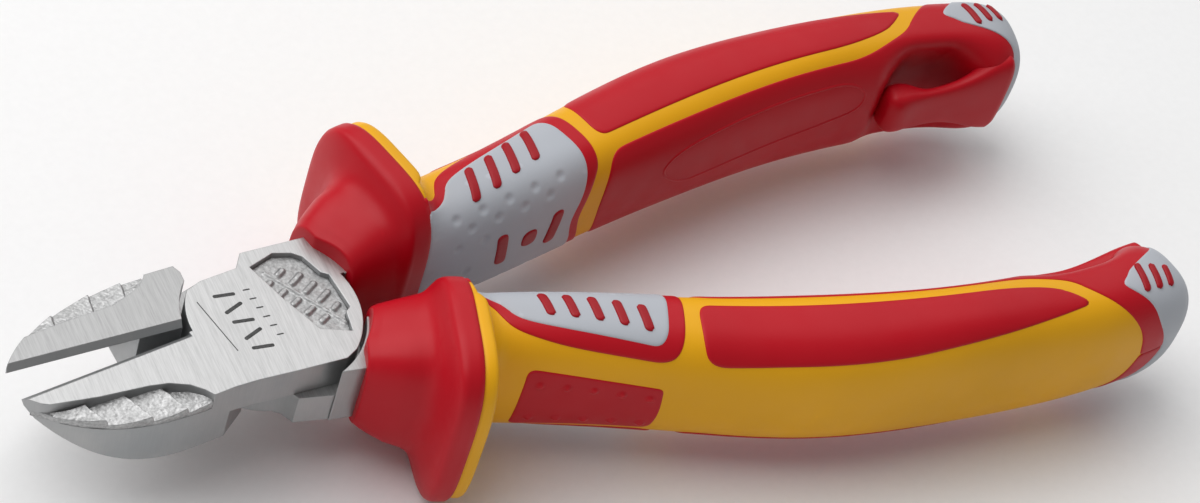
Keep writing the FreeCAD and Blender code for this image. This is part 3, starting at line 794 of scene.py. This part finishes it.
# sections of the guard: along, offset, half width, half height, section power
GUARD_SECTIONS = np.array([
    (-15.0, 1.4, 5.6, 6.8, 3.5),
    (-12.6, 1.5, 5.8, 7.1, 3.5),
    (-10.5, 1.9, 6.4, 8.2, 3.4),
    (-8.5, 2.15, 7.0, 9.1, 3.3),
    (-6.2, 2.2, 7.6, 9.9, 3.1),
    (-5.2, 2.35, 7.95, 10.4, 3.0),
    (-4.7, 2.6, 8.35, 10.9, 3.0),
    (-4.2, 3.15, 9.1, 11.8, 3.1),
    (-3.8, 3.8, 9.9, 12.7, 3.2),
    (-3.4, 4.45, 10.6, 13.4, 3.4),
    (-3.0, 4.85, 10.95, 13.8, 3.5),
    (-2.4, 5.0, 11.12, 13.98, 3.5),
    (-1.4, 5.0, 11.15, 14.0, 3.5),
    (-0.6, 5.0, 11.12, 13.98, 3.5),
    (-0.15, 5.0, 10.9, 13.75, 3.5),
    (0.0, 5.0, 10.5, 13.35, 3.5),
])


def guard_ring(along, angles, inset=0.0):
    """Across and up of one ring of the guard; along may differ from point to point."""
    along = np.broadcast_to(np.asarray(along, float), angles.shape)
    offset, half_width, half_height, power = (
        np.interp(along, GUARD_SECTIONS[:, 0], GUARD_SECTIONS[:, k]) for k in range(1, 5)
    )
    unit_across, unit_up = superellipse(np.radians(angles), power)
    return offset + (half_width - inset) * unit_across, (half_height - inset) * unit_up


def guard_front(angles, inset=0.0, scale=1.0):
    """Where the block's front face, hollow round the pivot, meets each point of the ring."""
    middle = 2.0        # the ring shrinks towards this much across
    along = np.full(angles.shape, -13.0)
    for _ in range(12):
        across, up = guard_ring(along, angles, inset)
        across = middle + (across - middle) * scale
        point = guard_point(along, across, up * scale)
        along = along - (np.hypot(point[:, 0], point[:, 1]) - GUARD_FRONT) * 0.8
        along = np.maximum(along, GUARD_OUTER_FRONT)
    return along, across, up * scale


def guard():
    """Red finger guard: block round the tang, concave fillet and rounded flange."""
    angles = even_angles(144)
    radius = 0.45           # of the block's front edge
    block_end = -6.2
    rows = [guard_point(*guard_front(angles, radius, scale)) for scale in (0.15, 0.4, 0.7, 0.9)]
    for turn in np.radians((0, 20, 40, 60, 80)):
        inset = radius * (1 - math.sin(turn))
        along, across, up = guard_front(angles, inset)
        rows.append(guard_point(along + radius * (1 - math.cos(turn)), across, up))
    start = guard_front(angles)[0] + radius
    for part in np.linspace(0, 1, 12)[1:]:
        along = start + (block_end - start) * part
        rows.append(guard_point(along, *guard_ring(along, angles)))
    for along in (-5.5, -4.9, -4.4, -4.0, -3.7, -3.4, -3.1, -2.9, -2.6, -2.3, -1.9, -1.5, -1.0, -0.6,
                  -0.35, -0.15, -0.05, 0.0):
        rows.append(guard_point(along, *guard_ring(along, angles)))
    across, up = guard_ring(0.0, angles)
    for scale in (0.93, 0.82, 0.7, 0.5):    # the rear face
        rows.append(guard_point(0.02, across * scale, up * scale))
    shape = Shape()
    shape.add_rows(rows, cap_first=True, cap_last=True)
    return shape


def yellow_rim():
    """Yellow rim behind the flange, on the outer side only; it runs out into the red at both ends."""
    buried = -0.9       # inside the flange, where the rim draws back to past its tips
    angles = np.linspace(-180, 180, 200, endpoint=False)
    past_tip = np.clip((from_outward(angles) - RIM_TIP[0]) / (RIM_TIP[1] - RIM_TIP[0]), 0, 1)
    share = np.sqrt(1 - past_tip ** 2)
    offset, half_width, half_height, power = FLANGE
    unit_across, unit_up = superellipse(np.radians(angles), power)
    profile = (     # along, inset from the flange's outline
        (-0.8, 1.2), (-0.4, 0.44), (0.5, 0.40), (1.2, 0.42), (1.6, 0.6), (1.82, 0.95),
        (RIM_THICKNESS, 1.5), (RIM_THICKNESS, 3.0), (RIM_THICKNESS, 5.0), (RIM_THICKNESS, 7.0),
    )
    rows = []
    for along, inset in profile:
        across, up = offset + (half_width - inset) * unit_across, (half_height - inset) * unit_up
        rows.append(guard_point(buried + (along - buried) * share, across, up))
    shape = Shape()
    shape.add_rows(rows, cap_first=True, cap_last=True)
    return shape


# ---------------------------------------------------------------- the forged halves

# the hollow along each jaw, in the half's closed-jaw frame
HOLLOWS = {
    "front": dict(
        side=-1,                # of the cutting line on which the jaw lies
        degrees=FRONT_TURN,
        first=-33.9, last=-13.4,    # its ends along the jaw
        inner=[                 # plan of its border beside the cutting edge
            (-34.0, -0.1), (-32.4, -1.3), (-26.3, -2.8), (-20.0, -3.9), (-17.5, -4.6), (-15.3, -5.9),
            (-14.0, -7.3), (-13.3, -8.6),
        ],
        ridges=(-33.4, -28.1, -23.0, -18.3, -12.0),     # where each scallop starts
        lean=0.35,              # how far the ridges slant, per millimetre across
        low=7.7, high=8.8,      # heights of the scallops' floor and crest
        fall=0.25,              # towards the outer wall
    ),
    "rear": dict(
        side=1,
        degrees=REAR_TURN,
        first=-32.6, last=-12.8,
        inner=[
            (-34.0, 4.9), (-31.3, 5.4), (-25.7, 6.2), (-18.3, 6.9), (-15.1, 8.1), (-13.6, 9.0),
            (-12.6, 10.1),
        ],
        ridges=(-33.0, -26.5, -21.0, -16.2, -11.0),
        lean=0.15,
        low=8.85, high=9.4,
        fall=0.2,
    ),
}
HOLLOW_FLOOR = 8.2      # height of the hollow's floor on the CAD part
HOLLOW_LOW = 7.0        # the hidden floor is taken down to here under the hammered one
TIP_LOW = 7.95          # and only to here near the jaw's tip


def turned(points, degrees):
    """Points turned about the pivot's axis."""
    turn = math.radians(degrees)
    c, s = math.cos(turn), math.sin(turn)
    points = np.array(points, float)
    return np.stack([
        points[:, 0] * c - points[:, 1] * s, points[:, 0] * s + points[:, 1] * c, points[:, 2],
    ], 1)


def outer_edge(node, side, stations, degrees):
    """Distance of the jaw's outer wall from the cutting line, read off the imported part."""
    outside, level = 30.0, 7.7      # where the rays towards the wall start
    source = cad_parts[node].data
    tree = BVHTree.FromPolygons([v.co for v in source.vertices], [p.vertices for p in source.polygons])
    turn = math.radians(degrees)
    inward = Vector((side * math.sin(turn), -side * math.cos(turn), 0))
    reach = []
    for station in stations:
        start = turned([(station, side * outside, level)], degrees)[0] * MM
        hit = tree.ray_cast(Vector(start), inward)
        reach.append(outside - hit[3] / MM if hit[0] else 0.0)
    return np.array(reach)


def hollow(node, side, degrees, first, last, inner, ridges, lean, low, high, fall):
    """Hammered floor of a jaw's hollow: scallops that climb towards the pivot and drop at each ridge."""
    bottom = HOLLOW_LOW - 0.15
    stations = np.linspace(first, last, 260)
    inner_at = cubic(*zip(*inner))
    outer = outer_edge(node, side, stations, degrees)
    rows = []
    for station, reach in zip(stations, outer):
        start, stop = inner_at(station) - side * 0.15, side * (reach + 0.02)
        if side * (stop - start) < 0.1:
            start = stop - side * 0.1
        row = []
        for part in np.linspace(0, 1, 44):
            y = start + (stop - start) * part
            along = station - lean * abs(y - inner_at(station)) + 0.12 * noise.noise(Vector((y, 3.0, side)))
            index = int(np.clip(np.searchsorted(ridges, along) - 1, 0, len(ridges) - 2))
            span = ridges[index + 1] - ridges[index]
            past = np.clip((along - ridges[index]) / span, 0, 1)
            rise = past ** 0.8
            drop = 1 - smoothstep(0.0, 0.09, past) if index else 0.0
            height = low + (high - low) * max(rise, drop * 0.96)
            height -= fall * part * math.sin(math.pi * past) ** 0.7
            spot = Vector((station, y, 0.0))
            height += 0.045 * noise.noise(spot * 1.5) + 0.03 * noise.noise(spot * 3.7)
            row.append((station, y, min(height, HEAD_TOP - 0.12)))

        # the last point of the floor becomes a small chamfer; then down the outer wall and back underneath
        edge_height = row[-1][2]
        row[-1] = (station, stop - side * 0.04, edge_height)
        row.append((station, stop, edge_height - 0.06))
        for depth in (0.4, 0.8):
            row.append((station, stop, edge_height - depth * (edge_height - HOLLOW_LOW + 0.1)))
        row.append((station, stop - side * 0.3, bottom))
        row.append((station, start, bottom))
        rows.append(turned(row, degrees))
    shape = Shape()
    shape.add_rows(rows, cap_first=True, cap_last=True)
    return shape


# the sunk badge field on the lap plate, in the front half's closed-jaw frame
BADGE = [
    (1.9, 7.2), (5.8, 8.0), (8.1, 7.0), (9.1, 5.9), (9.8, 2.7), (10.6, 1.9), (10.1, -3.7),
    (9.2, -4.2), (8.2, -7.2), (4.6, -5.2), (3.0, 1.0),
]
BADGE_LINE = ((3.4, 6.0), (8.6, -5.4))      # ends of the long stroke that the others branch from
BADGE_BOTTOM, BADGE_FIELD, BADGE_RELIEF = 8.5, 8.96, 0.36   # heights of underside and field, rise of strokes


def badge_strokes():
    """Plain raised strokes that stand where the badge carries its relief: start, stop, half width."""
    (start_x, start_y), (stop_x, stop_y) = BADGE_LINE
    strokes = [(BADGE_LINE[0], BADGE_LINE[1], 0.13)]
    for i in range(5):
        part = 0.12 + 0.17 * i
        x, y = start_x + (stop_x - start_x) * part, start_y + (stop_y - start_y) * part
        reach = 2.5 if 0 < i < 4 else 1.7
        strokes.append(((x + 0.85, y + 0.35), (x + reach, y + 0.35 + 0.45 * (reach - 0.85)), 0.36))
        strokes.append(((x - 0.75, y - 0.35), (x - 1.75, y - 0.75), 0.36))
    return strokes


def badge_floor():
    """Sunk badge field with a cast-like floor and plain raised strokes."""
    strokes = badge_strokes()

    def height(x, y):
        away = 9.0
        for (x0, y0), (x1, y1), half_width in strokes:
            dx, dy = x1 - x0, y1 - y0
            at = min(1.0, max(0.0, ((x - x0) * dx + (y - y0) * dy) / (dx * dx + dy * dy)))
            away = min(away, math.hypot(x - x0 - at * dx, y - y0 - at * dy) - half_width)
        spot = Vector((x, y, 7.0))
        rough = 0.05 * noise.noise(spot * 1.3) + 0.03 * noise.noise(spot * 3.9)
        return BADGE_FIELD + BADGE_RELIEF * (1 - smoothstep(-0.10, 0.16, away)) + rough

    loop = even_loop(np.array(BADGE[::-1], float), 0.25)
    points, faces = filled(loop, 0.16)
    shape = Shape()
    shape.add(turned([(x, y, height(x, y)) for x, y in points], FRONT_TURN), faces)
    shape.add(turned([(x, y, BADGE_BOTTOM) for x, y in points], FRONT_TURN), faces)
    shape.add_rows([
        turned([(x, y, height(x, y)) for x, y in loop], FRONT_TURN),
        turned([(x, y, BADGE_BOTTOM) for x, y in loop], FRONT_TURN),
    ])
    return shape


def face_strokes():
    """Plain dark strokes on the flat face, in place of its engraving; they stand 0.012 mm proud."""
    shape = Shape()
    # each stroke: middle x, middle y, length, half width, direction in degrees
    strokes = [(-3.7, 4.6 - 2.3 * i, 3.0, 0.27, 14 if i % 2 else -14) for i in range(5)]
    strokes += [(-7.2, 0.6, 9.0, 0.07, 93)]
    strokes += [(-0.6, 4.2 - 1.6 * i, 1.0, 0.11, -10) for i in range(6)]
    for x, y, length, half_width, lean in strokes:
        turn = math.radians(lean)
        dx, dy = math.cos(turn) * length / 2, math.sin(turn) * length / 2
        nx, ny = -math.sin(turn) * half_width, math.cos(turn) * half_width
        corners = [
            (x - dx - nx, y - dy - ny, half_width), (x + dx - nx, y + dy - ny, half_width),
            (x + dx + nx, y + dy + ny, half_width), (x - dx + nx, y - dy + ny, half_width),
        ]
        loop = rounded_loop(corners, 0.12)
        rows = []
        for inset, height in ((0.0, -0.05), (0.0, 0.004), (0.02, 0.012)):
            ring = inset_loop(loop, inset)
            rows.append(turned([(px, py, HEAD_TOP + height) for px, py in ring], FRONT_TURN))
        shape.add_rows(rows, cap_first=True, cap_last=True)
    return shape


def forged(node, name):
    """The CAD piece with rounded top edges; the hollow's plain floor is sunk under the hammered one."""
    bevel = 0.14
    hollow_end, tip = -10.5, -31.0      # x of the plain floor's ends
    rim_angle, sharp_angle = math.radians(24), math.radians(28)
    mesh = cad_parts[node].data.copy()
    mesh.name = name
    edit = bmesh.new()
    edit.from_mesh(mesh)
    bmesh.ops.remove_doubles(edit, verts=edit.verts, dist=0.004 * MM)
    bmesh.ops.dissolve_limit(edit, angle_limit=math.radians(0.4), verts=edit.verts, edges=edit.edges)
    for vertex in edit.verts:
        if abs(vertex.co.z / MM - HOLLOW_FLOOR) < 0.02 and vertex.co.x / MM < hollow_end:
            vertex.co.z = (HOLLOW_LOW if vertex.co.x / MM > tip else TIP_LOW) * MM
    rim = [edge for edge in edit.edges if len(edge.link_faces) == 2
           and min(vertex.co.z for vertex in edge.verts) > (HEAD_TOP - 0.03) * MM
           and edge.calc_face_angle(0) > rim_angle]
    bmesh.ops.bevel(
        edit, geom=rim, offset=bevel * MM, segments=3, profile=0.5, affect="EDGES", clamp_overlap=True)
    for edge in edit.edges:
        edge.smooth = len(edge.link_faces) != 2 or edge.calc_face_angle(0) < sharp_angle
    edit.to_mesh(mesh)
    edit.free()
    mesh.polygons.foreach_set("use_smooth", [True] * len(mesh.polygons))
    piece = linked(name, mesh)
    weighted = piece.modifiers.new("even_normals", "WEIGHTED_NORMAL")
    weighted.keep_sharp = True
    return piece


# ---------------------------------------------------------------- studio

VIEW_AZIMUTH = math.radians(-39.934)
VIEW_ELEVATION = math.radians(45.611)
VIEW_ROLL = math.radians(20.16)
VIEW_DISTANCE = 431.4   # along the camera's axis to the pivot
VIEW_ASIDE = 42.9       # the camera's axis passes this far to the right of the pivot
VIEW_ABOVE = 10.7       # and this far above it
SENSOR = 36.0
LENS = 102.13


def view_axes():
    """Camera's right, up and back directions."""
    a, e, r = VIEW_AZIMUTH, VIEW_ELEVATION, VIEW_ROLL
    right = Vector((math.cos(a), math.sin(a), 0))
    back = Vector((math.sin(a) * math.cos(e), -math.cos(a) * math.cos(e), math.sin(e)))
    up = back.cross(right)
    return math.cos(r) * right + math.sin(r) * up, math.cos(r) * up - math.sin(r) * right, back


def camera():
    """Camera at the photo's viewing angle."""
    right, up, back = view_axes()
    data = bpy.data.cameras.new("camera")
    data.sensor_width = SENSOR
    data.lens = LENS
    data.clip_start = 0.02
    data.clip_end = 20.0
    eye = linked("camera", data)
    pivot = Vector((0, 0, MID))
    eye.location = (pivot + right * VIEW_ASIDE + up * VIEW_ABOVE + back * VIEW_DISTANCE) * MM
    matrix = eye.matrix_world.copy()
    for row in range(3):
        matrix[row][0], matrix[row][1], matrix[row][2] = right[row], up[row], back[row]
        matrix[row][3] = eye.location[row]
    eye.matrix_world = matrix
    bpy.context.scene.camera = eye


def softbox(name, direction, size, power):
    """White area light that looks at the middle of the tool from 1 m away."""
    data = bpy.data.lights.new(name, "AREA")
    data.shape = "RECTANGLE"
    data.size, data.size_y = size
    data.energy = power
    lamp = linked(name, data)
    aim = Vector((0.045, 0, 0.005))
    direction = Vector(direction).normalized()
    lamp.location = aim + direction
    lamp.rotation_euler = direction.to_track_quat("Z", "Y").to_euler()


def studio():
    """Pale surroundings, a large key light and a weaker light from behind that gives the gloss."""
    world = bpy.data.worlds.new("studio")
    world.use_nodes = True
    background = world.node_tree.nodes["Background"]
    background.inputs["Color"].default_value = (1, 1, 1, 1)
    background.inputs["Strength"].default_value = 0.30
    bpy.context.scene.world = world
    softbox("key", (-0.5, 0.45, 1.0), (1.1, 1.1), 10.0)
    softbox("sheen", (0.45, 0.54, 0.72), (0.9, 0.9), 2.4)
    bpy.context.scene.view_settings.view_transform = "Standard"


def floor():
    """Pale studio floor just under the tool's lowest point."""
    low = CAD_BOX[0][2] - 0.0003
    half_size, steps = 3.0, 8
    shape = Shape()
    rows = []
    for x in np.linspace(-half_size, half_size, steps):
        rows.append([(x / MM, y / MM, low / MM) for y in np.linspace(-half_size, half_size, steps)])
    shape.add_rows(rows, closed=False)
    piece = build_mesh("floor", shape)
    n = Nodes("floor_paper")
    fibres = n.noise(n.coordinates, 900, 3.0)
    n.join(n.blend(fibres, (0.86, 0.86, 0.86), (0.90, 0.90, 0.90)), n.shader.inputs["Base Color"])
    n.shader.inputs["Roughness"].default_value = 0.9
    piece.data.materials.append(n.material)


# ---------------------------------------------------------------- assembly

skin = sleeve().merged(yellow_rim())
moulding("sleeve", skin, "yellow_plastic", YELLOW)
skin = guard().merged(zone(SURROUND, 0.16, 0.4, relief=under_saddle))
moulding("guard", skin, "red_plastic", RED)
skin = zone(SADDLE, 0.28, 0.3, relief=domes(saddle_dimples(), 0.85, -0.23))
moulding("saddle", skin, "grey_plastic", GREY)
skin = zone(BACK_PAD, 0.14, 0.25, relief=domes(pad_bumps(), 0.72, 0.34))
moulding("back_pad", skin, "red_plastic", RED)
moulding("grip_top", zone(GRIP, 0.16), "red_plastic", RED)
moulding("grip_bottom", zone(reflected(GRIP), 0.16), "red_plastic", RED)
skin = zone(INNER, 0.14, 0.7).merged(loop_arm()).merged(ridge(LABEL, 0.12, 0.32, 0.14))
moulding("inner_cover", skin, "red_plastic", RED)
moulding("end_cap", cap_skin(), "grey_plastic", GREY)
moulding("saddle_marks", marks_on_saddle(), "red_plastic", DEEP_RED)
moulding("cap_marks", marks_on_cap(), "red_plastic", DEEP_RED)

piece = forged("jaw_half_front", "front_forging")
place(piece, "front_half", "forged_steel", FRONT_STEEL, "jaw_half_front")
piece = forged("jaw_half_rear", "rear_forging")
place(piece, "rear_half", "forged_steel", SHADED_REAR_STEEL, "jaw_half_rear")
piece = forged("pivot_rivet", "rivet")
place(piece, "front_half", "rivet_steel", FRONT_STEEL, "pivot_rivet")
for prefix, sizes in HOLLOWS.items():
    piece = build_mesh(prefix + "_hollow", hollow("jaw_half_" + prefix, **sizes))
    place(piece, prefix + "_half", "forged_steel", FORGED)
place(build_mesh("front_badge", badge_floor()), "front_half", "forged_steel", CAST)
place(build_mesh("front_face_strokes", face_strokes()), "front_half", "forged_steel", ETCHED)

camera()
studio()
floor()
